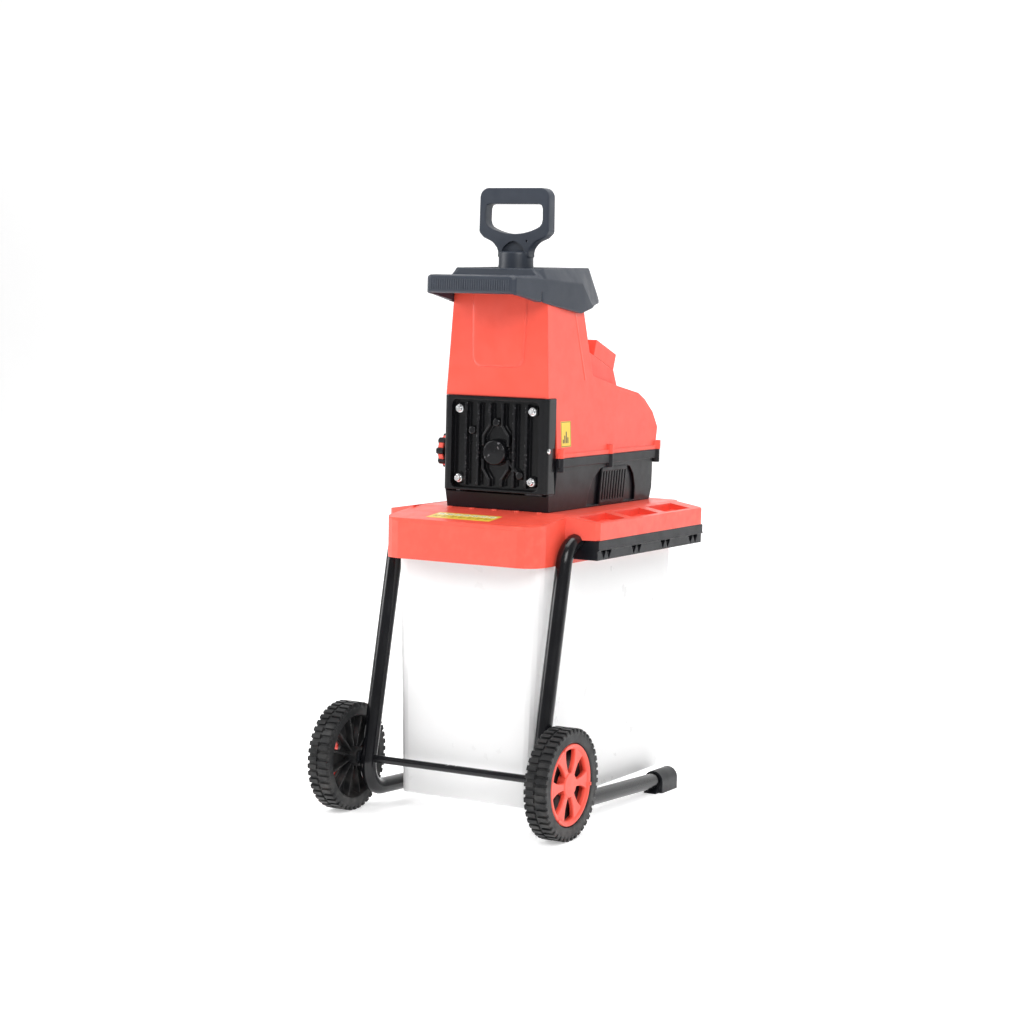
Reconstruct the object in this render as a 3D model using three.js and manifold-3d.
// Electric garden shredder on a wheeled tube frame, with a collection box under its deck.
// Millimetres, +X to the right seen from the front, +Y to the rear, +Z up.
// The pieces are laid out from the axle (y = 0) and the floor (z = 0); the whole group is then
// moved so that its origin lies on the floor, in the middle of its footprint.

import * as THREE from 'three';
import { mergeVertices } from 'three/addons/utils/BufferGeometryUtils.js';
import Module from 'manifold-3d';

const wasm = await Module();
wasm.setup();

// ---------------------------------------------------------------- driving dimensions

const GAP = 0.3; // clearance between two pieces that touch

const WHEEL_R = 85;
const WHEEL_WIDTH = 36;
const WHEEL_X = 191; // middle of the tread
const WHEEL_WELL_R = 63; // recess that holds the hub cap
const AXLE_R = 6;
const AXLE_END_X = 202.6;

const TUBE_R = 12.5;
const TUBE_WALL = 1.8;
const TUBE_X = 150.5;
const LEG_TILT = 0.2066; // rearward run of the leg for each unit of height
const TOP_RUN_Z = 437.5;
const FLOOR_RUN_SLOPE = 0.0421; // the floor run drops gently to the rear
const FLOOR_RUN_Z = 36.3; // height of the floor run below the axle
const TUBE_REAR_TOP = 455;
const TUBE_REAR_FLOOR = 440;
const BEND_R = 40;

const DECK_Z = 476; // top of the deck, where the base stands
const DECK_HALF = 137;
const DECK_REAR = 498;
const SKIRT_Z = 402;
const SHELF_HALF = 188;
const SHELF_FRONT = 107;
const SHELF_REAR = 477;
const SHELF_UNDER = 440.3;
const RAIL_UNDER = 410;
const RAIL_SCREW_X = 171;
const RAIL_SCREW_Y = 295;

const BOX_TOP_HALF = 130;
const BOX_BOTTOM_HALF = 119;
const BOX_FRONT = 36;
const BOX_REAR = 490;
const BOX_UNDER = 30;
const BOX_RIM_Z = 405.4;
const BOX_WALL = 2.6;

const PART_Z = 559; // parting line of the casing
const CASING_FRONT = 138.3;
const CASING_REAR = 499;
const COVER_FRONT = 109;
const COVER_TOP = 651.7;
const COVER_BOTTOM = 504;
const TOWER_TOP_FRONT = 814;
const TOWER_TOP_REAR = 800;

const DRUM_Z = 565; // axis of drum, gears and motor
const DRUM_R = 42;
const DRUM_FROM = 142;
const DRUM_TO = 221;
const CHAMBER_FRONT = 126.3;
const CHAMBER_REAR = 235;

const PUSHER_Y = 164;
const SCREW_Y = 155; // adjusting screw
const SCREW_Z = 561;

const PANEL_TILT = 19.5 * Math.PI / 180;
const PANEL_Y = 363;
const PANEL_Z = 728;
const PANEL_DEPTH = 27;

const FRONT_END = -WHEEL_R;
const REAR_END = 503;

// ---------------------------------------------------------------- materials

/** A plain surface: colour, roughness and metalness. */
function surface(color, roughness, metalness = 0) {
  return new THREE.MeshStandardMaterial({ color, roughness, metalness });
}

const RED = surface(0xe8493a, 0.42);
const GREY = surface(0x3d4550, 0.5);
const BLACK = surface(0x1d1f24, 0.5);
const TUBE_BLACK = surface(0x17181b, 0.3, 0.2);
const TYRE_BLACK = surface(0x26282c, 0.65);
const BOX_WHITE = surface(0xeef0f2, 0.4);
const STEEL = surface(0xb9bcc0, 0.35, 1);
const ZINC = surface(0xd0d2d4, 0.3, 1);
const CAST = surface(0x9b9ea2, 0.5, 1);
const TOOL_STEEL = surface(0x6e7175, 0.35, 1);
const COPPER = surface(0x9c5a34, 0.45, 1);
const GREEN = surface(0x2f9a48, 0.4);

// ---------------------------------------------------------------- solids

/** Turns a closed geometry into an exact solid with its faces pointing out. */
function toSolid(geometry) {
  const bare = geometry.clone();
  bare.deleteAttribute('normal');
  bare.deleteAttribute('uv');
  const merged = mergeVertices(bare, 1e-4);
  const position = merged.attributes.position;
  const corners = [new THREE.Vector3(), new THREE.Vector3(), new THREE.Vector3()];
  const triangles = [];
  let volume = 0;
  for (let i = 0; i < merged.index.count; i += 3) {
    const ids = [0, 1, 2].map((k) => merged.index.getX(i + k));
    if (new Set(ids).size < 3) continue;
    ids.forEach((id, k) => corners[k].fromBufferAttribute(position, id));
    volume += corners[0].dot(corners[1].clone().cross(corners[2]));
    triangles.push(ids);
  }
  const outward = volume > 0 ? triangles : triangles.map(([a, b, c]) => [a, c, b]);
  return new wasm.Manifold(new wasm.Mesh({
    numProp: 3,
    vertProperties: new Float32Array(position.array),
    triVerts: new Uint32Array(outward.flat()),
  }));
}

/** Turns a solid back into a geometry with flat faces. */
function toGeometry(solid) {
  const mesh = solid.getMesh();
  const geometry = new THREE.BufferGeometry();
  geometry.setAttribute('position', new THREE.BufferAttribute(mesh.vertProperties, 3));
  geometry.setIndex(new THREE.BufferAttribute(mesh.triVerts, 1));
  const faceted = geometry.toNonIndexed();
  faceted.computeVertexNormals();
  return faceted;
}

const join = (...solids) => solids.reduce((whole, piece) => whole.add(piece));
const cut = (solid, ...tools) => tools.reduce((whole, tool) => whole.subtract(tool), solid);
const common = (...solids) => solids.reduce((whole, piece) => whole.intersect(piece));

/** Radius of a faceted bore whose flats clear a shaft of the given radius. */
const boreR = (radius, sides = 20) => (radius + GAP) / Math.cos(Math.PI / sides);

// Where the extrusion's own X, Y and Z point for each direction of extrusion.
const X = new THREE.Vector3(1, 0, 0);
const Y = new THREE.Vector3(0, 1, 0);
const Z = new THREE.Vector3(0, 0, 1);
const FRAMES = {
  x: new THREE.Matrix4().makeBasis(Y, Z, X),
  y: new THREE.Matrix4().makeBasis(X, Z, Y.clone().negate()),
  z: new THREE.Matrix4().makeBasis(X, Y, Z),
};

/** Extrudes a shape along an axis; its outline is (y, z), (x, z) or (x, y). */
function prismOf(axis, shape, from, to, curveSegments = 2) {
  const geometry = new THREE.ExtrudeGeometry(shape, {
    depth: to - from, bevelEnabled: false, curveSegments,
  });
  geometry.translate(0, 0, axis === 'y' ? -to : from);
  return toSolid(geometry.applyMatrix4(FRAMES[axis]));
}

/** Extrudes a polygon given as a list of points. */
function prism(axis, points, from, to) {
  return prismOf(axis, new THREE.Shape(points.map(([u, v]) => new THREE.Vector2(u, v))), from, to);
}

function block([x0, x1], [y0, y1], [z0, z1]) {
  const geometry = new THREE.BoxGeometry(x1 - x0, y1 - y0, z1 - z0);
  return toSolid(geometry.translate((x0 + x1) / 2, (y0 + y1) / 2, (z0 + z1) / 2));
}

/** A round bar along an axis, centred on the two other coordinates. */
function rod(axis, radius, from, to, [u, v] = [0, 0], sides = 20) {
  const geometry = new THREE.CylinderGeometry(radius, radius, to - from, sides);
  geometry.rotateX(Math.PI / 2);
  geometry.translate(u, v, (axis === 'y' ? -1 : 1) * (from + to) / 2);
  return toSolid(geometry.applyMatrix4(FRAMES[axis]));
}

/** A turned piece about an axis, from a closed profile of [radius, position along it]. */
function turned(axis, profile, sides = 20) {
  const closed = profile[0][0] === 0 ? profile : [...profile, profile[0]];
  const geometry = new THREE.LatheGeometry(closed.map(([r, u]) => new THREE.Vector2(r, u)), sides);
  geometry.rotateX(Math.PI / 2);
  if (axis === 'y') geometry.scale(1, 1, -1);
  return toSolid(geometry.applyMatrix4(FRAMES[axis]));
}

/** A rectangle with rounded corners: front radius at low v, rear radius at high v. */
function roundedRect([u0, u1], [v0, v1], frontR, rearR = frontR) {
  const shape = new THREE.Shape();
  shape.moveTo(u0 + frontR, v0);
  shape.lineTo(u1 - frontR, v0);
  shape.absarc(u1 - frontR, v0 + frontR, frontR, -Math.PI / 2, 0);
  shape.lineTo(u1, v1 - rearR);
  shape.absarc(u1 - rearR, v1 - rearR, rearR, 0, Math.PI / 2);
  shape.lineTo(u0 + rearR, v1);
  shape.absarc(u0 + rearR, v1 - rearR, rearR, Math.PI / 2, Math.PI);
  shape.lineTo(u0, v0 + frontR);
  shape.absarc(u0 + frontR, v0 + frontR, frontR, Math.PI, 1.5 * Math.PI);
  return shape;
}

/** Mirrors an open half outline, given for +u, into a closed one. */
const mirrored = (half) => [...half, ...half.map(([u, v]) => [-u, v]).reverse()];

/** Narrows or widens a solid's X and Y with height about a centre line. */
function tapered(geometry, z0, z1, topScaleX, topScaleY, centreY) {
  const position = geometry.attributes.position;
  for (let i = 0; i < position.count; i += 1) {
    const t = (position.getZ(i) - z0) / (z1 - z0);
    position.setX(i, position.getX(i) * (1 + t * (topScaleX - 1)));
    position.setY(i, centreY + (position.getY(i) - centreY) * (1 + t * (topScaleY - 1)));
  }
  return toSolid(geometry);
}

// ---------------------------------------------------------------- scene

const chipper = new THREE.Group();
chipper.position.y = -(FRONT_END + REAR_END) / 2;

/** Adds one named piece and gives its mesh back for placing. */
function piece(name, solid, material, parent = chipper) {
  const mesh = new THREE.Mesh(toGeometry(solid), material);
  mesh.name = name;
  parent.add(mesh);
  return mesh;
}

const SIDES = [['left', -1], ['right', 1]];

// ---------------------------------------------------------------- frame

/** A path through given stations, with one tube section at each of them. */
class StationPath extends THREE.Curve {
  constructor(stations) {
    super();
    this.stations = stations;
  }

  getPoint(t) {
    const last = this.stations.length - 1;
    const index = Math.min(Math.floor(t * last), last - 1);
    return this.stations[index].clone().lerp(this.stations[index + 1], t * last - index);
  }

  getTangent(t) {
    const last = this.stations.length - 1;
    const index = Math.round(t * last);
    const before = this.stations[Math.max(index - 1, 0)];
    const after = this.stations[Math.min(index + 1, last)];
    const here = this.stations[index];
    const incoming = index > 0 ? here.clone().sub(before).normalize() : new THREE.Vector3();
    const outgoing = index < last ? after.clone().sub(here).normalize() : new THREE.Vector3();
    return incoming.add(outgoing).normalize();
  }

  getUtoTmapping(u) {
    return u;
  }
}

/** Stations of a bend of radius r at corner b, between straight runs from a and to c. */
function bend(a, b, c, r, steps) {
  const towardsA = a.clone().sub(b).normalize();
  const towardsC = c.clone().sub(b).normalize();
  const half = towardsA.angleTo(towardsC) / 2;
  const bisector = towardsA.clone().add(towardsC).normalize();
  const centre = b.clone().addScaledVector(bisector, r / Math.sin(half));
  const start = b.clone().addScaledVector(towardsA, r / Math.tan(half)).sub(centre);
  const turn = Math.PI - 2 * half;
  const axis = start.clone().cross(bisector.clone().negate()).normalize();
  return Array.from({ length: steps + 1 }, (_, i) => (
    centre.clone().add(start.clone().applyAxisAngle(axis, turn * i / steps))
  ));
}

const floorRunZ = (y) => FLOOR_RUN_Z - FLOOR_RUN_SLOPE * y;

/** Centre line of one frame tube: top run, leg and floor run, with a bend between each two. */
function tubePath() {
  const at = (y, z) => new THREE.Vector3(0, y, z);
  const legY = (z) => LEG_TILT * (z - WHEEL_R);
  const topEnd = at(TUBE_REAR_TOP, TOP_RUN_Z);
  const topCorner = at(legY(TOP_RUN_Z), TOP_RUN_Z);
  const floorCorner = at(legY(floorRunZ(0)), floorRunZ(legY(floorRunZ(0))));
  const floorEnd = at(TUBE_REAR_FLOOR, floorRunZ(TUBE_REAR_FLOOR));
  return new StationPath([
    topEnd,
    ...bend(topEnd, topCorner, floorCorner, BEND_R, 6),
    ...bend(topCorner, floorCorner, floorEnd, BEND_R, 6),
    floorEnd,
  ]);
}

/** The tube's solid on its path: hollow, or filled as a tool for cutting its seats. */
function tubeSolid(outerR, innerR) {
  const section = new THREE.Shape();
  section.absarc(0, 0, outerR, 0, 2 * Math.PI);
  if (innerR > 0) {
    const hollow = new THREE.Path();
    hollow.absarc(0, 0, innerR, 0, 2 * Math.PI);
    section.holes.push(hollow);
  }
  const path = tubePath();
  return toSolid(new THREE.ExtrudeGeometry(section, {
    extrudePath: path, steps: path.stations.length - 1, bevelEnabled: false, curveSegments: 4,
  }));
}

function frame() {
  const axleHole = rod('x', boreR(AXLE_R, 16), -20, 20, [0, WHEEL_R], 16);
  const tube = cut(tubeSolid(TUBE_R, TUBE_R - TUBE_WALL), axleHole);
  for (const [side, sign] of SIDES) {
    piece(`frame_tube_${side}`, tube, TUBE_BLACK).position.x = sign * TUBE_X;
    piece(`foot_cap_${side}`, footCap(), BLACK).position.x = sign * TUBE_X;
  }
}

/** Plastic foot: a sleeve over the tube's end with a flat sole and a small wedge in front. */
function footCap() {
  const front = 396;
  const rear = 452;
  const tubeZ = floorRunZ((front + rear) / 2);
  const halfWidth = 17;
  const outline = new THREE.Shape();
  outline.moveTo(-halfWidth, 0);
  outline.lineTo(halfWidth, 0);
  outline.lineTo(halfWidth, tubeZ);
  outline.absarc(0, tubeZ, halfWidth, 0, Math.PI);
  outline.lineTo(-halfWidth, 0);
  const wedge = prism('x', [[front - 13, 0], [front + 1, 0], [front + 1, 14]], -11, 11);
  const seat = tubeSolid(TUBE_R + 2 * GAP, 0);
  return cut(join(prismOf('y', outline, front, rear, 5), wedge), seat);
}

// ---------------------------------------------------------------- wheels

/** Wheel about its own X axis, with the hub cap's recess on the +X side. */
function wheelSolid() {
  const inner = -WHEEL_WIDTH / 2;
  const outer = WHEEL_WIDTH / 2;
  const hubR = 15;
  const body = turned('x', [
    [boreR(AXLE_R, 24), inner - 6], [hubR, inner - 6], [hubR, -4], [60, -4], [65, inner],
    [80, inner], [WHEEL_R, inner + 6], [WHEEL_R, outer - 6], [80, outer], [WHEEL_WELL_R, outer - 2],
    [WHEEL_WELL_R, 0], [hubR, 0], [hubR, outer - 9], [boreR(AXLE_R, 24), outer - 9],
  ], 24);
  const ribs = Array.from({ length: 6 }, (_, i) => {
    const rib = new THREE.BoxGeometry(9, 46, 3).translate(-8, 37.5, 0);
    return toSolid(rib.rotateX(i * Math.PI / 3));
  });
  return join(body, ...ribs);
}

/** Hub cap about its own X axis: a rim, six spokes and a plain round centre. */
function hubCapSolid() {
  const face = WHEEL_WIDTH / 2 - 2;
  const rim = turned('x', [
    [57, GAP], [WHEEL_WELL_R - 3 * GAP, GAP], [WHEEL_WELL_R - 3 * GAP, face], [56, face],
  ], 24);
  const centre = turned('x', [
    [0, face], [17, face], [19.5, face - 2], [19.5, 1], [17, 1], [17, face - 4], [0, face - 4],
  ], 16);
  const spoke = prism('x', [[-4.5, 18], [-11, 34], [-8, 56], [8, 56], [11, 34], [4.5, 18]], 6, face - 5);
  const spokes = Array.from({ length: 6 }, (_, i) => spoke.rotate([i * 60, 0, 0]));
  return join(rim, centre, ...spokes);
}

function wheels() {
  const axle = piece('axle', rod('x', AXLE_R, -AXLE_END_X, AXLE_END_X, [0, 0], 16), TUBE_BLACK);
  axle.position.z = WHEEL_R;
  const wheel = wheelSolid();
  const cap = hubCapSolid();
  const clip = turned('x', [[boreR(AXLE_R), 0], [10, 0], [10, 1.6], [boreR(AXLE_R), 1.6]], 14);
  const spacer = turned('x', [[boreR(AXLE_R), 0], [10, 0], [10, 3.2], [boreR(AXLE_R), 3.2]], 14);
  for (const [side, sign] of SIDES) {
    const corner = new THREE.Group();
    corner.position.z = WHEEL_R;
    corner.rotation.z = sign > 0 ? 0 : Math.PI;
    chipper.add(corner);
    piece(`wheel_${side}`, wheel, TYRE_BLACK, corner).position.x = WHEEL_X;
    piece(`hub_cap_${side}`, cap, RED, corner).position.x = WHEEL_X;
    piece(`axle_clip_${side}`, clip, ZINC, corner).position.x = WHEEL_X + WHEEL_WIDTH / 2 - 9 + GAP;
    piece(`axle_spacer_${side}`, spacer, BLACK, corner).position.x = TUBE_X + TUBE_R + GAP;
  }
}

// ---------------------------------------------------------------- deck

/** Top of the side shelf falls gently outwards. */
const shelfTop = (inset = 0) => mirrored([
  [0, 430], [SHELF_HALF + 10, 430], [SHELF_HALF + 10, 465.5 - inset],
  [DECK_HALF - 10, DECK_Z + 1.5 - inset], [0, DECK_Z + 1.5 - inset],
]);

function shelfPlan(inset) {
  const shape = new THREE.Shape();
  const outer = SHELF_HALF - inset;
  const front = SHELF_FRONT + inset;
  const rear = SHELF_REAR - inset;
  shape.moveTo(DECK_HALF - 20, front - 20);
  shape.lineTo(DECK_HALF, front - 14);
  shape.lineTo(outer - 6, front - 2);
  shape.lineTo(outer, front + 4);
  shape.lineTo(outer, rear - 6);
  shape.lineTo(outer - 6, rear);
  shape.lineTo(DECK_HALF - 20, rear);
  return shape;
}

function tray() {
  const wall = 3;
  const top = DECK_Z - GAP;
  const side = prism('x', [
    [0, SKIRT_Z], [0, 458], [6, 464], [118, top], [DECK_REAR, top],
    [DECK_REAR, 412], [DECK_REAR - 8, 412], [DECK_REAR - 16, SKIRT_Z],
  ], -DECK_HALF, DECK_HALF);
  const plan = prismOf('z', roundedRect([-DECK_HALF, DECK_HALF], [0, DECK_REAR], 32, 18), 300, 500);
  const hollowSide = prism('x', [
    [wall, 390], [wall, 456.5], [8, 461], [118, top - 4], [DECK_REAR - wall, top - 4],
    [DECK_REAR - wall, 390],
  ], wall - DECK_HALF, DECK_HALF - wall);
  const hollowPlan = prismOf('z', roundedRect(
    [wall - DECK_HALF, DECK_HALF - wall], [wall, DECK_REAR - wall], 29, 15,
  ), 300, 500);
  const tubeSeat = tubeSolid(TUBE_R + 0.6, 0);
  let solid = cut(common(side, plan), common(hollowSide, hollowPlan));
  for (const [, sign] of SIDES) {
    solid = join(solid, shelf(wall, sign), slideLip(sign));
    solid = cut(solid, tubeSeat.translate([sign * TUBE_X, 0, 0]));
  }
  const discharge = block([-56, 56], [138, 232], [450, 490]);
  const doorway = block(
    [-BOX_TOP_HALF - 4, BOX_TOP_HALF + 4], [DECK_REAR - 24, REAR_END], [390, BOX_RIM_Z + 4],
  );
  piece('tray', cut(solid, discharge, doorway), RED);
}

/** One side shelf, hollow from below, with three open pockets and seats on the tube. */
function shelf(wall, sign) {
  const rim = prism('y', shelfTop(), 0, 600);
  const room = prism('y', shelfTop(wall), 0, 600);
  const outer = common(prismOf('z', shelfPlan(0), SHELF_UNDER, 490), rim);
  let inner = common(prismOf('z', shelfPlan(wall), 400, 490), room);
  inner = cut(inner, block([0, DECK_HALF - 0.5], [0, 600], [300, 600]));
  const pocketRoom = [];
  const pocketShell = [];
  for (const start of [116, 233, 350]) {
    const floor = (grow) => [
      [start - grow, 456 - grow], [start + 92 + grow, 464 - grow],
      [start + 92 + grow, 490], [start - grow, 490],
    ];
    pocketRoom.push(prism('x', floor(0), 145, 181));
    pocketShell.push(prism('x', floor(2), 143, 183));
  }
  const seats = [130, 220, 340, 450].map((y) => (
    block([DECK_HALF - 1, SHELF_HALF - 1], [y, y + 4], [SHELF_UNDER, 458])
  ));
  const shells = common(join(...pocketShell), rim);
  const solid = cut(join(cut(outer, inner), shells, ...seats), ...pocketRoom);
  const trimmed = cut(solid, block([0, DECK_HALF - 2], [0, 600], [300, 600]));
  return sign > 0 ? trimmed : trimmed.mirror([1, 0, 0]);
}

/** Ledge inside the skirt on which the collection box hangs. */
function slideLip(sign) {
  const inner = BOX_TOP_HALF + 0.7;
  const span = [inner, DECK_HALF - 1].map((x) => sign * x).sort((a, b) => a - b);
  return block(span, [40, DECK_REAR - 20], [SKIRT_Z, SKIRT_Z + 2.8]);
}

/** Black rail under a shelf, with a groove for the tube and pairs of notches in its flange. */
function rails() {
  const inner = DECK_HALF + 1;
  const outer = SHELF_HALF;
  const ledge = 426;
  const body = prism('y', [
    [inner + 4, RAIL_UNDER], [outer - 2, RAIL_UNDER], [outer - 2, ledge - 2], [outer + 1.5, ledge],
    [outer, ledge + 2], [outer, SHELF_UNDER - GAP], [inner, SHELF_UNDER - GAP], [inner, 420],
  ], SHELF_FRONT, SHELF_REAR);
  const hollow = block([inner + 8, outer - 5], [SHELF_FRONT + 8, SHELF_REAR - 4], [400, 421]);
  const seat = join(
    tubeSolid(TUBE_R + 0.6, 0).translate([TUBE_X, 0, 0]),
    block([inner + 0.6, TUBE_X + TUBE_R + 0.6], [SHELF_FRONT - 1, TUBE_REAR_TOP + 1], [TOP_RUN_Z, 450]),
  );
  const notches = [];
  for (const middle of [136, 239, 342, 445]) {
    for (const y of [middle - 9, middle + 9]) {
      notches.push(prism('x', [[y - 7, ledge - 4], [y + 7, ledge - 4], [y, RAIL_UNDER + 1.5]], 177, 200));
    }
  }
  const screwBore = rod('z', boreR(2.5, 12), 400, 450, [RAIL_SCREW_X, RAIL_SCREW_Y], 12);
  const rail = cut(body, hollow, seat, screwBore, ...notches);
  piece('rail_right', rail, BLACK);
  piece('rail_left', rail.mirror([1, 0, 0]), BLACK);
}

/** Screws that clamp the tubes between rail and shelf. */
function railScrews() {
  const screw = turned('z', [[0, -3.5], [5, -3.5], [5.5, 0], [2.5, 0], [2.5, 14], [0, 14]], 12);
  for (const [side, sign] of SIDES) {
    piece(`rail_screw_${side}`, screw, ZINC).position.set(sign * RAIL_SCREW_X, RAIL_SCREW_Y, 421 - GAP);
  }
}

// ---------------------------------------------------------------- collection box

function collectionBox() {
  const depth = BOX_REAR - BOX_FRONT;
  const middle = (BOX_REAR + BOX_FRONT) / 2;
  const height = BOX_RIM_Z - BOX_UNDER;
  const shape = (inset) => roundedRect(
    [inset - BOX_BOTTOM_HALF, BOX_BOTTOM_HALF - inset],
    [BOX_FRONT + 4 + inset, BOX_REAR - 4 - inset], 18 - inset,
  );
  const shell = (inset, floor) => tapered(
    new THREE.ExtrudeGeometry(shape(inset), { depth: height - floor, bevelEnabled: false, curveSegments: 2 })
      .translate(0, 0, BOX_UNDER + floor),
    BOX_UNDER, BOX_RIM_Z, BOX_TOP_HALF / BOX_BOTTOM_HALF, depth / (depth - 8), middle,
  );
  const rimShape = roundedRect([-133.4, 133.4], [BOX_FRONT - 3, BOX_REAR + 2], 18);
  const rim = prismOf('z', rimShape, BOX_RIM_Z, BOX_RIM_Z + 3);
  const mouth = prismOf('z', roundedRect(
    [BOX_WALL - BOX_TOP_HALF, BOX_TOP_HALF - BOX_WALL], [BOX_FRONT + BOX_WALL, BOX_REAR - BOX_WALL], 15,
  ), BOX_RIM_Z - 1, BOX_RIM_Z + 9);
  const grip = join(
    block([-60, 60], [BOX_REAR - 4, REAR_END], [BOX_RIM_Z - 2, BOX_RIM_Z + 3]),
    block([-60, 60], [REAR_END - 3, REAR_END], [BOX_RIM_Z - 26, BOX_RIM_Z + 3]),
  );
  const inside = common(shell(BOX_WALL, BOX_WALL), block([-200, 200], [0, 600], [0, BOX_RIM_Z]));
  piece('collection_box', cut(join(shell(0, 0), rim, grip), inside, mouth), BOX_WHITE);
}

/** Sliding bolt on the deck's rear wall; pushed down, its tongue holds the box shut. */
function boxLatch() {
  const back = DECK_REAR + GAP;
  const latch = join(
    block([75, 99], [back, back + 3.5], [424, 452]),
    block([81, 93], [back, back + 4.5], [BOX_RIM_Z + 9, 430]),
    block([80, 94], [back + 2, REAR_END + 1.6], [438, 442]),
  );
  piece('box_latch', common(latch, block([0, 200], [400, REAR_END], [400, 500])), BLACK);
}

// ---------------------------------------------------------------- casing

/** Everything above or below a height, for trimming the casing. */
const above = (z) => block([-200, 200], [90, 620], [z, 900]);
const below = (z) => block([-200, 200], [90, 620], [300, z]);

/** Screw bosses along the parting line, from z0 to z1 measured from it. */
function bosses(z0, z1) {
  const left = [205, 314, 482].map((y) => [-95.5, y]);
  const right = [148, 314, 482].map((y) => [95.5, y]);
  const places = [...left, ...right];
  return join(...places.map((place) => rod('z', 7, PART_Z + z0, PART_Z + z1, place, 10)));
}

const casingPlan = (half, rear, rearR) => (
  prismOf('z', roundedRect([-half, half], [90, rear], 8, rearR), 400, 900)
);

/** Sloping side walls of the casing, wider at the parting line, inset by the wall. */
function casingWidth(inset) {
  return prism('y', mirrored([
    [90 - inset, 470], [95.5 - inset, 541], [95.5 - inset, 560], [91 - inset, 652], [89 - inset, 690],
    [82.5 - inset, 820],
  ]), 80, 620);
}

function baseHousing() {
  const wall = 3;
  const floor = DECK_Z + 4;
  const shape = prism('x', [
    [122, DECK_Z], [472, DECK_Z], [489, 545], [490, 570], [CASING_FRONT, 570],
    [CASING_FRONT, COVER_BOTTOM - GAP], [118, COVER_BOTTOM - GAP],
  ], -120, 120);
  const room = prism('x', [
    [125, floor], [469, floor], [486, 545], [487, 580], [60, 580],
    [60, COVER_BOTTOM - 3], [122, COVER_BOTTOM - 3],
  ], -120, 120);
  const flange = common(
    prismOf('z', roundedRect([-99, 99], [CASING_FRONT, CASING_REAR], 0.5, 24), 400, 700),
    above(PART_Z - 14),
  );
  const outside = common(
    join(common(shape, casingWidth(0), casingPlan(96, 490, 26)), flange, bosses(-21, 0)),
    below(PART_Z - GAP / 2),
  );
  const inside = common(room, casingWidth(wall), casingPlan(93, 487, 23));
  const saddleSeat = rod('y', boreR(58, 32), 320, 410, [0, DRUM_Z], 32);
  const saddles = [338, 388].map((y) => cut(block([-46, 46], [y, y + 5], [floor - 1, 520]), saddleSeat));
  const discharge = block([-56, 56], [138, 232], [460, 490]);
  const slots = [];
  for (let i = 0; i < 9; i += 1) {
    const y = 293.5 + i * 9.3;
    slots.push(block([-120, 120], [y, y + 4.6], [487, 531]));
  }
  const hollow = cut(outside, inside);
  piece('base_housing', cut(join(hollow, ...saddles), discharge, screwHole(), ...slots), BLACK);
}

/** Way through the left side of the casing for the adjusting screw. */
const screwHole = () => rod('x', 8, -130, -78, [SCREW_Y, SCREW_Z], 16);

function upperHousing() {
  const wall = 3;
  const front = CASING_FRONT;
  const silhouette = (inset) => prism('x', [
    [front + inset, 530], [front + inset, COVER_TOP + GAP + inset], [113 + inset, COVER_TOP + GAP + inset],
    [118 + inset, TOWER_TOP_FRONT], [118 + inset, 830], [232 - inset, 830], [232 - inset, TOWER_TOP_REAR],
    [262 - inset, 684 - inset], [335 - inset / 2, 669 - inset], [419 - inset, 654 - inset],
    [440 - inset, 643 - inset], [466 - inset, 621 - inset], [485 - inset, 591], [496 - inset, 560],
    [497 - inset, 530],
  ], -120, 120);
  const seam = (y) => (
    PANEL_Z - PANEL_DEPTH / Math.cos(PANEL_TILT) - Math.tan(PANEL_TILT) * (y - PANEL_Y)
  );
  const humpRear = 390;
  const hump = (inset) => prism('x', [
    [230, 660], [230, seam(230) - inset], [humpRear - inset, seam(humpRear - inset) - inset],
    [407 - inset, 655], [407 - inset, 640],
  ], inset - 60, 60 - inset);
  const neck = (inset) => prism('x', [
    [232, 680], [232, 740 - inset], [319 - inset, 740 - inset], [313.5 - inset, 700], [313.5 - inset, 680],
  ], inset - 48, 48 - inset);
  const topSlope = prism('x', [
    [100, 500], [100, TOWER_TOP_FRONT + 4], [118, TOWER_TOP_FRONT], [232, TOWER_TOP_REAR],
    [245, TOWER_TOP_REAR - 3], [620, TOWER_TOP_REAR - 3], [620, 500],
  ], -120, 120);
  const flange = common(
    prismOf('z', roundedRect([-98, 98], [front, CASING_REAR], 0.5, 24), 400, 700),
    below(PART_Z + 7),
  );
  const tower = common(silhouette(0), casingWidth(0), casingPlan(97, CASING_REAR, 30));
  const body = join(tower, hump(0), neck(0));
  const outside = common(join(body, flange, bosses(0, 15)), above(PART_Z + GAP / 2), topSlope);
  const behindCover = block([-120, 120], [60, front + wall + 1], [500, COVER_TOP - wall]);
  const room = join(
    common(join(silhouette(wall), behindCover), casingWidth(wall), casingPlan(94, CASING_REAR - wall, 27)),
    hump(wall), neck(wall),
  );
  const partition = common(prism('x', [
    [262, 684], [232, TOWER_TOP_REAR], [229, TOWER_TOP_REAR], [258, 686.5], [231.4, 678],
    [231.4, 643], [234.4, 643], [234.4, 675.5], [263, 681],
  ], -100, 100), casingWidth(0.5));
  const humpMouth = prism('x', [
    [321, seam(321) - 6], [321, seam(321) + 20], [387, seam(387) + 20], [387, seam(387) - 6],
  ], -57, 57);
  const solid = join(cut(outside, room), partition);
  piece('upper_housing', cut(solid, humpMouth, screwHole(), inletOpening()), RED);
}

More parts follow.
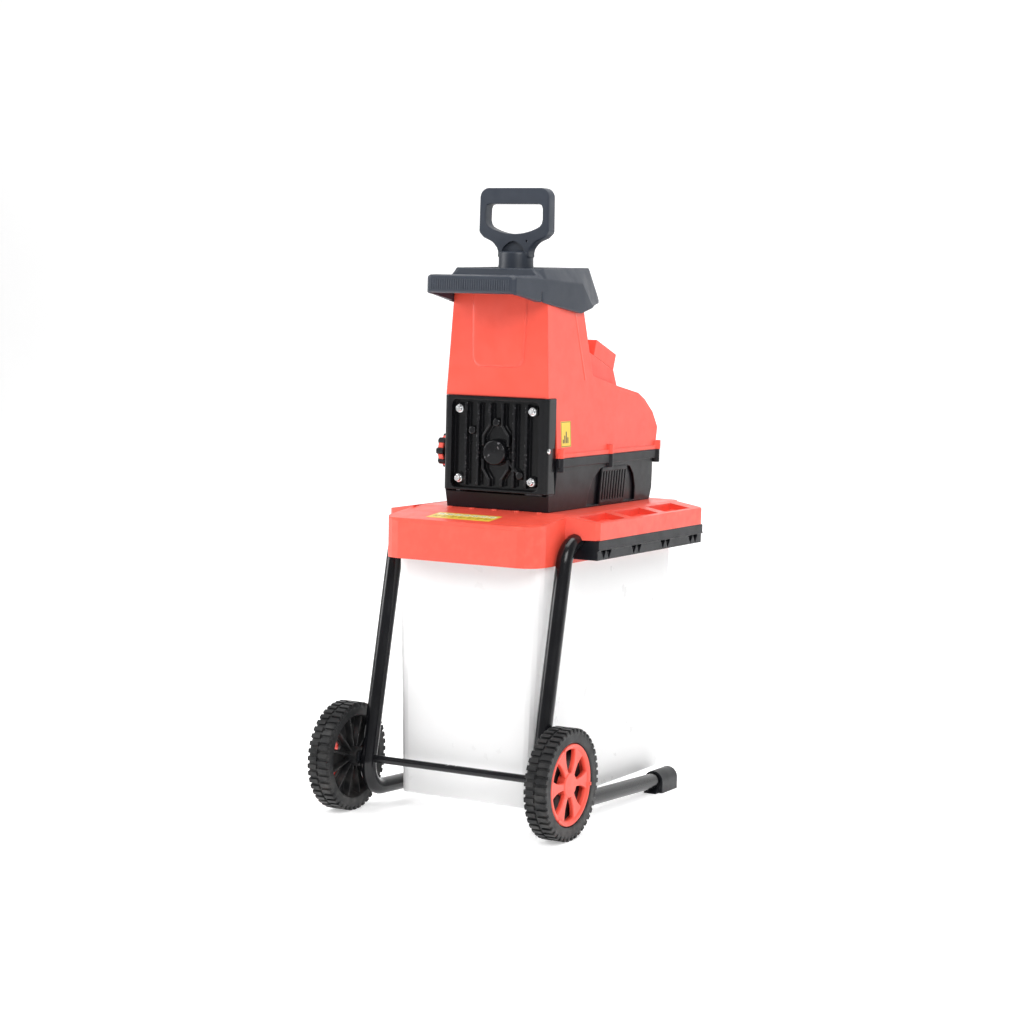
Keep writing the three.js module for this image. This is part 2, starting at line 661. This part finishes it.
/** Cast cover over the front of the cutting chamber, with cooling fins and the bearing's hub. */
function frontCover() {
  const wall = 3;
  const recessFloor = 121;
  const outside = prismOf('z', roundedRect([-92.5, 92.5], [COVER_FRONT, 170], 9, 1), COVER_BOTTOM, COVER_TOP);
  const trim = block([-120, 120], [CASING_FRONT - GAP, 300], [400, 700]);
  const chamberRoom = block([-89.5, 89.5], [CHAMBER_FRONT - GAP, 200], [COVER_BOTTOM - 1, COVER_TOP - wall]);
  const recess = prismOf('y', roundedRect([-78, 78], [508, 646], 8), 100, recessFloor, 3);
  const fin = block([-2, 2], [111, recessFloor + 1], [513, 641]);
  const fins = [-55, -33, -11, 11, 33, 55].map((x) => fin.translate([x, 0, 0]));
  const hub = rod('y', 19, 106.5, recessFloor + 1, [0, DRUM_Z]);
  const moat = cut(rod('y', 26, 100, recessFloor, [0, DRUM_Z]), rod('y', 22.5, 99, 130, [0, DRUM_Z]));
  const seat = rod('y', 25, recessFloor, 140, [0, DRUM_Z]);
  const bore = rod('y', boreR(20), CHAMBER_FRONT + 1, 150, [0, DRUM_Z]);
  const finned = cut(join(cut(outside, recess), ...fins), moat);
  const pads = boltPlaces().map((place) => rod('y', 7, 114, recessFloor + 1, place, 10));
  const holes = boltPlaces().map((place) => rod('y', boreR(4, 12), 90, 170, place, 12));
  const solid = join(cut(finned, trim, chamberRoom), ...pads, hub, seat);
  piece('front_cover', cut(solid, bore, ...holes), BLACK);
}

const boltPlaces = () => [[-65, 522], [65, 522], [-65, 631], [65, 631]];

function coverBolts() {
  const hexagon = new THREE.CylinderGeometry(6.6, 6.6, 6, 6).translate(0, 3, 0);
  const washer = new THREE.CylinderGeometry(6.8, 6.8, 1.6, 12).translate(0, -0.8, 0);
  const shank = new THREE.CylinderGeometry(4, 4, 40, 10).translate(0, -20, 0);
  const bolt = join(...[hexagon, washer, shank].map(toSolid)).rotate([180, 0, 0]);
  boltPlaces().forEach(([x, z], i) => {
    piece(`cover_bolt_${i + 1}`, bolt, ZINC).position.set(x, 114 - 1.6 - GAP, z);
  });
}

// ---------------------------------------------------------------- hopper hood and pusher

function hopperHood() {
  const wall = 3;
  const plan = (inset) => {
    const half = [
      [74 - inset, 23 + inset], [78 - inset, 27 + inset], [79 - inset, 40], [88 - inset, 110],
      [94 - inset, 200],
      [94 - inset, 245], [80 - inset, 285 - inset],
    ];
    return prism('z', mirrored(half), 700, 900);
  };
  const side = (inset) => [
    [20, 811 - 40 * inset], [113, 811 - 40 * inset], [212, 784 - 40 * inset],
    [285 + 14 * inset, 803 - 40 * inset], [263 - 3 * inset, 850 - 3 * inset],
    [100 + 3 * inset, 850 - 9 * inset], [97 + 3 * inset, 838 - 3 * inset],
    [20, 837 - 3 * inset],
  ];
  const width = (inset) => prism('y', mirrored([
    [94 - inset, 700], [94 - inset, 826 - inset], [76 - inset / 2, 851 - inset], [0, 851 - inset],
  ]), 0, 300);
  const outside = common(plan(0), prism('x', side(0), -120, 120), width(0));
  const inside = common(plan(wall), prism('x', side(1), -120, 120), width(wall));
  const funnel = block([-64, 64], [121.6, 208], [797, 850]);
  const ribs = [-40, 40].flatMap((x) => [
    block([x - 2, x + 2], [96, 122], [TOWER_TOP_FRONT + GAP + 4, 845]),
    block([x - 2, x + 2], [206, 246], [TOWER_TOP_REAR + GAP + 8, 845]),
  ]);
  const gripRibs = [-60, -40, -20, 0, 20, 40, 60].map((x) => block([x - 1.5, x + 1.5], [26, 50], [816, 836]));
  const throat = block([-61, 61], [124.6, 205], [700, 900]);
  const rebate = block([-68, 68], [113, 215], [842.5, 900]);
  const filled = common(join(...ribs, ...gripRibs, funnel), outside);
  const base = join(cut(outside, inside), filled, common(funnel, block([-100, 100], [0, 300], [790, 850])));
  piece('hopper_hood', cut(base, throat, rebate), GREY);
}

function pusher() {
  const neckR = 30.5;
  const y = PUSHER_Y;
  const outline = new THREE.Shape();
  outline.moveTo(-neckR, 876);
  outline.quadraticCurveTo(-36, 893, -58, 900);
  outline.quadraticCurveTo(-67.5, 905, -67.5, 913);
  outline.lineTo(-65, 962);
  outline.quadraticCurveTo(-64, 975, -52, 975);
  outline.lineTo(52, 975);
  outline.quadraticCurveTo(64, 975, 65, 962);
  outline.lineTo(67.5, 913);
  outline.quadraticCurveTo(67.5, 905, 58, 900);
  outline.quadraticCurveTo(36, 893, neckR, 876);
  const grip = new THREE.Shape();
  grip.moveTo(-57, 920);
  grip.lineTo(-55, 948);
  grip.quadraticCurveTo(-54, 953, -49, 953);
  grip.lineTo(49, 953);
  grip.quadraticCurveTo(54, 953, 55, 948);
  grip.lineTo(57, 920);
  grip.quadraticCurveTo(50, 899, 0, 899);
  grip.quadraticCurveTo(-50, 899, -57, 920);
  const handle = cut(prismOf('y', outline, y - 11, y + 11, 4), prismOf('y', grip, y - 20, y + 20, 4));
  const neck = rod('z', neckR, 846, 878, [0, y]);
  const plate = block([-66, 66], [y - 46, y + 46], [842.8, 848]);
  piece('pusher_handle', join(handle, neck, plate), GREY);

  const paddle = cut(
    block([-54, 54], [y - 36, y + 36], [660, 842.8 - GAP]),
    block([-51, 51], [y - 33, y + 33], [650, 839]),
  );
  piece('pusher_paddle', paddle, GREY);
}

// ---------------------------------------------------------------- cutting chamber

function cutterHousing() {
  const place = [0, DRUM_Z];
  const top = 641;
  const shell = cut(
    block([-77, 77], [CHAMBER_FRONT, CHAMBER_REAR], [500, top]),
    block([-71, 47.5], [100, CHAMBER_REAR - 6], [400, 700]),
    block([53, 90], [132, 229], [535, 618]),
  );
  const corners = boltPlaces().map((corner) => rod('y', 11, CHAMBER_FRONT, CHAMBER_REAR, corner, 16));
  const holes = boltPlaces().map((corner) => rod('y', boreR(4, 12), 100, 165, corner, 12));
  const nut = rod('x', 11, -77, -66, [SCREW_Y, SCREW_Z], 16);
  const nutBore = rod('x', boreR(5, 16), -90, -60, [SCREW_Y, SCREW_Z], 16);
  const seat = rod('y', 25, CHAMBER_REAR - 12.5, CHAMBER_REAR, place);
  const bearingBore = rod('y', boreR(20), 200, 260, place);
  const solid = join(shell, ...corners, nut, seat);
  const trimmed = common(solid, block([-77, 77], [CHAMBER_FRONT, CHAMBER_REAR], [500, top]));
  piece('cutter_housing', cut(trimmed, nutBore, bearingBore, ...holes), CAST);
}

/** Cutting roller with eight hooked teeth. */
function cutterDrum() {
  const teeth = 8;
  const rootR = 31;
  const outline = [];
  for (let i = 0; i < teeth; i += 1) {
    const profile = [[rootR, 0], [DRUM_R, 0.06], [DRUM_R - 1.5, 0.2], [rootR + 2, 0.55]];
    for (const [radius, share] of profile) {
      const angle = 2 * Math.PI * (i + share) / teeth;
      outline.push([radius * Math.cos(angle), radius * Math.sin(angle)]);
    }
  }
  return cut(prism('y', outline, DRUM_FROM, DRUM_TO), rod('y', boreR(11), 100, 300));
}

/** Ball bearing drawn as one plain ring. */
const bearing = (innerR, outerR, from, to) => turned('y', [
  [boreR(innerR), from], [outerR, from], [outerR, to], [boreR(innerR), to],
]);

function cuttingChamber() {
  cutterHousing();
  const roller = new THREE.Group();
  roller.position.z = DRUM_Z;
  chipper.add(roller);
  piece('cutter_drum', cutterDrum(), TOOL_STEEL, roller);
  piece('drum_shaft', turned('y', [
    [0, 128], [8.5, 128], [8.5, 141.5], [11, 141.5], [11, 239], [9, 239], [9, 253], [0, 253],
  ]), STEEL, roller);
  piece('drum_bearing_front', bearing(8.5, 20, 128, 140), STEEL, roller);
  piece('drum_bearing_rear', bearing(11, 20, CHAMBER_REAR - 11.7, CHAMBER_REAR - 0.5), STEEL, roller);

  // Plate against which the roller cuts, ribbed on its face, moved sideways by the screw.
  const plate = prism('y', [
    [-58, 536], [-49, 534], [-45, 552], [-44.5, 565], [-45, 578], [-50, 606], [-58, 604],
  ], 143, 220);
  const screwSeat = rod('x', boreR(5, 16), -60, -48.6, [SCREW_Y, SCREW_Z], 16);
  piece('pressure_plate', cut(plate, screwSeat), CAST);

  const knob = new THREE.Group();
  knob.position.set(0, SCREW_Y, SCREW_Z);
  chipper.add(knob);
  const screw = turned('x', [[0, -53.6], [5, -53.6], [5, -112], [0, -112]], 16);
  piece('adjusting_screw', screw, ZINC, knob);
  const grips = Array.from({ length: 6 }, (_, i) => (
    rod('x', 7, -118, -103.6, [20 * Math.cos(i * Math.PI / 3), 20 * Math.sin(i * Math.PI / 3)], 8)
  ));
  const knobBody = join(rod('x', 21, -116.5, -104), ...grips, rod('x', 10, -105, -101.2));
  const socket = rod('x', boreR(5, 16), -112.4, -90, [0, 0], 16);
  piece('adjusting_knob', cut(knobBody, socket), BLACK, knob);
}

// ---------------------------------------------------------------- gears

const PRESSURE_ANGLE = 20 * Math.PI / 180;
const involute = (angle) => Math.tan(angle) - angle;

/** Outline of a spur gear with one tooth centred on the given angle. */
function gearOutline(teeth, module, phase) {
  const pitchR = teeth * module / 2;
  const baseR = pitchR * Math.cos(PRESSURE_ANGLE);
  const tipR = pitchR + 0.9 * module;
  const rootR = pitchR - 1.25 * module;
  const halfAngle = (radius) => {
    const flank = Math.acos(Math.min(1, baseR / Math.max(radius, baseR)));
    return 0.88 * Math.PI / (2 * teeth) + involute(PRESSURE_ANGLE) - involute(flank);
  };
  const corners = [[rootR, halfAngle(rootR)], [tipR, halfAngle(tipR)]];
  const points = [];
  for (let i = 0; i < teeth; i += 1) {
    const middle = phase + 2 * Math.PI * i / teeth;
    for (const [radius, half] of [corners[0], corners[1]]) {
      points.push([radius * Math.cos(middle - half), radius * Math.sin(middle - half)]);
    }
    for (const [radius, half] of [corners[1], corners[0]]) {
      points.push([radius * Math.cos(middle + half), radius * Math.sin(middle + half)]);
    }
  }
  return points;
}

/** Phase that puts a gear in mesh with one at the given direction from it. */
function meshPhase(teethA, phaseA, teethB, direction) {
  const pitchA = 2 * Math.PI / teethA;
  const pitchB = 2 * Math.PI / teethB;
  const share = (direction - phaseA) / pitchA;
  return direction + Math.PI + (share + 0.5) * pitchB;
}

const GEARS = {
  drum: { teeth: 44, module: 2.5, y: [240, 253] },
  lowPinion: { teeth: 11, module: 2.5, y: [239, 254] },
  lowWheel: { teeth: 40, module: 2, y: [259, 268] },
  highPinion: { teeth: 10, module: 2, y: [258.5, 269] },
  highWheel: { teeth: 40, module: 1.5, y: [272, 279] },
  motorPinion: { teeth: 10, module: 1.5, y: [271, 281] },
};
const centreDistance = (a, b) => (a.teeth * a.module + b.teeth * b.module) / 2;

function gearTrain() {
  const train = gearLayout();
  for (const part of train) {
    const group = new THREE.Group();
    group.position.set(part.x, 0, part.z);
    chipper.add(group);
    part.build(group);
  }
}

/** Places of the two intermediate shafts, worked out from the centre distances. */
function gearLayout() {
  const { drum, lowPinion, lowWheel, highPinion, highWheel, motorPinion } = GEARS;
  const toLow = centreDistance(drum, lowPinion);
  const lowToHigh = centreDistance(lowWheel, highPinion);
  const toHigh = centreDistance(highWheel, motorPinion);
  const lowAngle = 58 * Math.PI / 180;
  const between = Math.acos((toLow ** 2 + toHigh ** 2 - lowToHigh ** 2) / (2 * toLow * toHigh));
  const highAngle = lowAngle - between;
  const low = [toLow * Math.cos(lowAngle), toLow * Math.sin(lowAngle)];
  const high = [toHigh * Math.cos(highAngle), toHigh * Math.sin(highAngle)];
  const lowPhase = meshPhase(drum.teeth, 0, lowPinion.teeth, lowAngle);
  const lowToHighAngle = Math.atan2(high[1] - low[1], high[0] - low[0]);
  const highPhase = meshPhase(lowWheel.teeth, lowPhase, highPinion.teeth, lowToHighAngle);
  const motorPhase = meshPhase(highWheel.teeth, highPhase, motorPinion.teeth, highAngle + Math.PI);
  const gear = ({ teeth, module, y }, phase) => prism('y', gearOutline(teeth, module, phase), ...y);
  return [
    {
      x: 0,
      z: DRUM_Z,
      build: (group) => piece('drum_gear', cut(gear(drum, 0), rod('y', boreR(9), 200, 300)), STEEL, group),
    },
    {
      x: low[0],
      z: DRUM_Z + low[1],
      build: (group) => piece('low_gear_cluster', join(
        gear(lowPinion, lowPhase), gear(lowWheel, lowPhase),
        rod('y', 10, 250, 262), rod('y', 6, 236.5, 284, [0, 0], 16),
      ), STEEL, group),
    },
    {
      x: high[0],
      z: DRUM_Z + high[1],
      build: (group) => piece('high_gear_cluster', join(
        gear(highPinion, highPhase), gear(highWheel, highPhase), rod('y', 5, 255.5, 284, [0, 0], 16),
      ), STEEL, group),
    },
    {
      x: 0,
      z: DRUM_Z,
      build: (group) => piece('motor_pinion', cut(
        gear(motorPinion, motorPhase), rod('y', boreR(4, 16), 200, 300, [0, 0], 16),
      ), STEEL, group),
    },
  ];
}

function gearbox() {
  const [, low, high] = gearLayout();
  const wall = 3;
  const shell = (inset, from, to) => prismOf('y', roundedRect(
    [-66 + inset, 86 - inset], [500 + inset, 672 - inset], 24 - inset,
  ), from, to);
  const body = cut(
    shell(0, CHAMBER_REAR + GAP, 290),
    shell(wall, CHAMBER_REAR - 1, 257.6),
    shell(wall + 3, 250, 285.5),
  );
  const motorBore = rod('y', boreR(8), 200, 300, [0, DRUM_Z]);
  const highSeat = rod('y', boreR(5, 16), 283, 287, [high.x, high.z], 16);
  const lowSeat = rod('y', boreR(6, 16), 283, 287, [low.x, low.z], 16);
  piece('gearbox_housing', cut(body, motorBore, highSeat, lowSeat), CAST);

  const plate = cut(
    shell(wall + 2 * GAP, 254.6, 257.3),
    rod('y', 14.5, 250, 260, [low.x, low.z]),
    rod('y', boreR(5, 16), 250, 260, [high.x, high.z], 16),
  );
  piece('gearbox_plate', plate, STEEL);
}

// ---------------------------------------------------------------- motor

function motor() {
  const armature = new THREE.Group();
  armature.position.z = DRUM_Z;
  chipper.add(armature);
  piece('motor_rotor', turned('y', [
    [0, 271], [4, 271], [4, 283], [8, 283], [8, 318], [32, 318], [32, 398], [8, 398], [8, 448], [0, 448],
  ]), STEEL, armature);
  piece('motor_stator', turned('y', [
    [33, 322], [58, 322], [58, 394], [33, 394],
  ], 32), CAST, armature);
  for (const [name, from, to] of [['front', 305, 322 - GAP], ['rear', 394 + GAP, 411]]) {
    const winding = turned('y', [[36, from], [50, from], [52, to], [36, to]]);
    piece(`stator_winding_${name}`, winding, COPPER, armature);
  }
  const hub = turned('y', [[boreR(8), 428], [14, 428], [14, 446], [boreR(8), 446]]);
  const disc = turned('y', [[boreR(8), 428], [46, 428], [46, 430], [boreR(8), 430]]);
  const blades = Array.from({ length: 8 }, (_, i) => (
    toSolid(new THREE.BoxGeometry(2, 17, 34).translate(0, 437, 29).rotateY(i * Math.PI / 4))
  ));
  piece('cooling_fan', join(hub, disc, ...blades), BLACK, armature);

  const bracket = cut(
    block([-62, 62], [414, 420], [490, 625]),
    rod('y', boreR(8), 400, 430, [0, DRUM_Z]),
    ...[-36, 36].flatMap((x) => [-36, 36].map((z) => rod('y', 14, 400, 430, [x, DRUM_Z + z], 10))),
  );
  const foot = block([-62, 62], [414, 432], [480 + GAP, 492]);
  piece('motor_bracket', join(bracket, foot), CAST);
  const capacitor = turned('y', [[0, 300], [16, 300], [16, 362], [5, 364], [5, 370], [0, 370]], 20);
  piece('start_capacitor', capacitor, GREY).position.set(-68, 0, 498);
}

// ---------------------------------------------------------------- control panel

/** Opening in the back of the hump for the mains inlet. */
const inletOpening = () => block([-17, 17], [395, 420], [661, 681]);

function controls() {
  const panel = new THREE.Group();
  panel.position.set(0, PANEL_Y, PANEL_Z);
  panel.rotation.x = -PANEL_TILT;
  chipper.add(panel);
  const half = 37;
  const wall = 2.5;
  const hole = (x, v, r) => rod('z', boreR(r, 20), -20, 20, [x, v], 20);
  const shell = cut(
    block([-60, 60], [-half, half], [-PANEL_DEPTH + GAP, 0]),
    block([wall - 60, 60 - wall], [wall - half, half - wall], [-PANEL_DEPTH - 1, -wall]),
    block([-50, 50], [-28, 28], [-1, 5]),
    hole(-34, 6, 9), hole(-6, 6, 9), hole(32, 4, 6), hole(-20, -18, 4.5),
  );
  piece('control_panel', shell, RED, panel);

  const button = (r) => turned('z', [
    [0, 2.5], [r - 1, 2.5], [r, 1.5], [r, -8], [3, -8], [3, -13], [0, -13],
  ], 20);
  const place = (name, solid, material, x, v) => piece(name, solid, material, panel).position.set(x, v, 0);
  place('start_button', button(9), GREEN, -34, 6);
  place('stop_button', button(9), RED, -6, 6);
  place('overload_button', button(4.5), BLACK, -20, -18);
  const selector = join(
    turned('z', [[0, 1], [15, 1], [15, -0.7], [6, -0.7], [6, -12], [0, -12]], 20),
    block([-3, 3], [-14, 14], [0, 9]),
  );
  place('direction_selector', selector, BLACK, 32, 4);
  const wells = [[-34, 6], [-6, 6], [-20, -18], [32, 4]].map(([x, v]) => rod('z', 7, -18, 0, [x, v], 16));
  place('switch_block', cut(block([-48, 48], [-28, 26], [-26, -14]), ...wells), BLACK, 0, 0);

  const flange = block([-22, 22], [407 + GAP, 410], [658, 686]);
  const socket = cut(
    join(flange, block([-15.5, 15.5], [398, 418], [662.5, 679.5])),
    block([-13, 13], [402, 425], [665, 677]),
  );
  const pins = [-7, 0, 7].map((x) => rod('y', 1.6, 400, 412, [x, 671], 8));
  piece('power_inlet', join(socket, ...pins), BLACK);
}

// ---------------------------------------------------------------- assembly

frame();
wheels();
tray();
rails();
railScrews();
collectionBox();
boxLatch();
baseHousing();
upperHousing();
frontCover();
coverBolts();
hopperHood();
pusher();
cuttingChamber();
gearTrain();
gearbox();
motor();
controls();

export default chipper;
